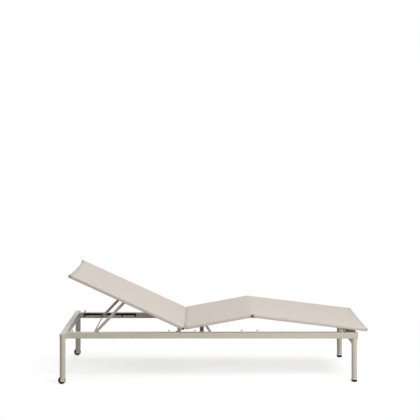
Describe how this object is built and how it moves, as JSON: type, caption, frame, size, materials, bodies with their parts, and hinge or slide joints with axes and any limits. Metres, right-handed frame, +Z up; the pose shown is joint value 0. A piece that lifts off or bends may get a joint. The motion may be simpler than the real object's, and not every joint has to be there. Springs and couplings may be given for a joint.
{
  "type": "chaise lounger",
  "caption": "Low sun lounger: a mesh sling bed in three hinged sections on a coated tube frame, with a notched back support, legs and wheels.",
  "frame": {"origin": "middle of the footprint, on the floor", "axes": "+X along the lounger from the head end to the foot end, +Y across it from the near side to the far side, +Z up"},
  "size_m": [2.0784, 0.87, 0.7246],
  "materials": {
    "frame_coat": "satin",
    "strut_coat": "satin",
    "rod_coat": "satin",
    "sling_mesh": "matte",
    "sling_edge": "matte",
    "dark_plastic": "matte",
    "rest_plastic": "matte",
    "wheel_plastic": "matte",
    "tyre": "matte",
    "dark_hardware": "satin",
    "bright_hardware": "satin"
  },
  "bodies": {
    "base_frame": {"side_rail_near": "frame_coat", "side_rail_far": "frame_coat", "head_cross_rail": "frame_coat", "foot_cross_rail": "frame_coat", "middle_cross_rail": "frame_coat", "head_leg_near": "frame_coat", "head_leg_far": "frame_coat", "foot_leg_near": "frame_coat", "foot_leg_far": "frame_coat", "head_leg_caps": "frame_coat", "rail_end_caps": "dark_plastic", "foot_glides": "dark_plastic", "wheel_housings": "dark_plastic", "wheel_axles": "bright_hardware", "rest_pegs": "frame_coat", "leg_rest_blocks": "rest_plastic", "hinge_brackets": "strut_coat", "bracket_screws": "dark_hardware", "hinge_bolts": "dark_hardware", "hinge_nuts": "bright_hardware", "hinge_washers": "bright_hardware"},
    "wheel_near": {"wheel_core_near": "wheel_plastic", "wheel_tyre_near": "tyre"},
    "wheel_far": {"wheel_core_far": "wheel_plastic", "wheel_tyre_far": "tyre"},
    "backrest": {"back_tube_near": "frame_coat", "back_tube_far": "frame_coat", "back_tube_caps": "dark_plastic", "back_lower_bar": "frame_coat", "back_upper_bar": "frame_coat", "back_pivot_rod": "rod_coat", "back_rod_collars": "dark_plastic", "back_sling": "sling_mesh", "back_sleeves": "sling_edge"},
    "back_support": {"back_strut_near": "strut_coat", "back_strut_far": "strut_coat", "back_support_rod": "rod_coat"},
    "seat": {"seat_tube_near": "frame_coat", "seat_tube_far": "frame_coat", "seat_hinge_plates": "frame_coat", "seat_rear_bar": "frame_coat", "seat_front_bar": "frame_coat", "seat_pivot_rod": "rod_coat", "seat_rod_collars": "dark_plastic", "seat_sling": "sling_mesh", "seat_sleeves": "sling_edge", "knee_bolts": "dark_hardware", "knee_nuts": "bright_hardware", "knee_washers": "bright_hardware"},
    "seat_support": {"seat_struts": "strut_coat", "seat_support_pins": "rod_coat"},
    "leg_rest": {"leg_tube_near": "frame_coat", "leg_tube_far": "frame_coat", "leg_tube_caps": "dark_plastic", "leg_knee_plates": "frame_coat", "leg_upper_bar": "frame_coat", "leg_lower_bar": "frame_coat", "leg_rest_bar": "frame_coat", "leg_sling": "sling_mesh", "leg_sleeves": "sling_edge"}
  },
  "joints": [
    {"name": "wheel_near_spin", "type": "hinge", "parent": "base_frame", "child": "wheel_near", "pos_m": [-1.0142, -0.416, 0.025], "axis": [0, 1, 0], "continuous": true},
    {"name": "wheel_far_spin", "type": "hinge", "parent": "base_frame", "child": "wheel_far", "pos_m": [-1.0142, 0.416, 0.025], "axis": [0, 1, 0], "continuous": true},
    {"name": "back_recline", "type": "hinge", "parent": "base_frame", "child": "backrest", "pos_m": [-0.20213, 0, 0.3615], "axis": [0, 1, 0], "range_deg": [-24.65, 13.87]},
    {"name": "back_support_swing", "type": "hinge", "parent": "backrest", "child": "back_support", "pos_m": [-0.59295, 0, 0.54084], "axis": [0, -1, 0], "range_deg": [-61.22, 34.46]},
    {"name": "seat_lift", "type": "hinge", "parent": "base_frame", "child": "seat", "pos_m": [-0.20213, 0, 0.3615], "axis": [0, -1, 0], "range_deg": [-10.4, 0]},
    {"name": "knee_fold", "type": "hinge", "parent": "seat", "child": "leg_rest", "pos_m": [0.26074, 0, 0.44645], "axis": [0, -1, 0], "range_deg": [0, 17.35]},
    {"name": "seat_support_swing", "type": "hinge", "parent": "seat", "child": "seat_support", "pos_m": [-0.05853, 0, 0.38786], "axis": [0, -1, 0], "range_deg": [0, 32.48]}
  ],
  "couplings": [
    {"joint": "back_support_swing", "follows": "back_recline", "ratio": 2.4814},
    {"joint": "knee_fold", "follows": "seat_lift", "ratio": -1.6636},
    {"joint": "seat_support_swing", "follows": "seat_lift", "ratio": -3.118}
  ]
}
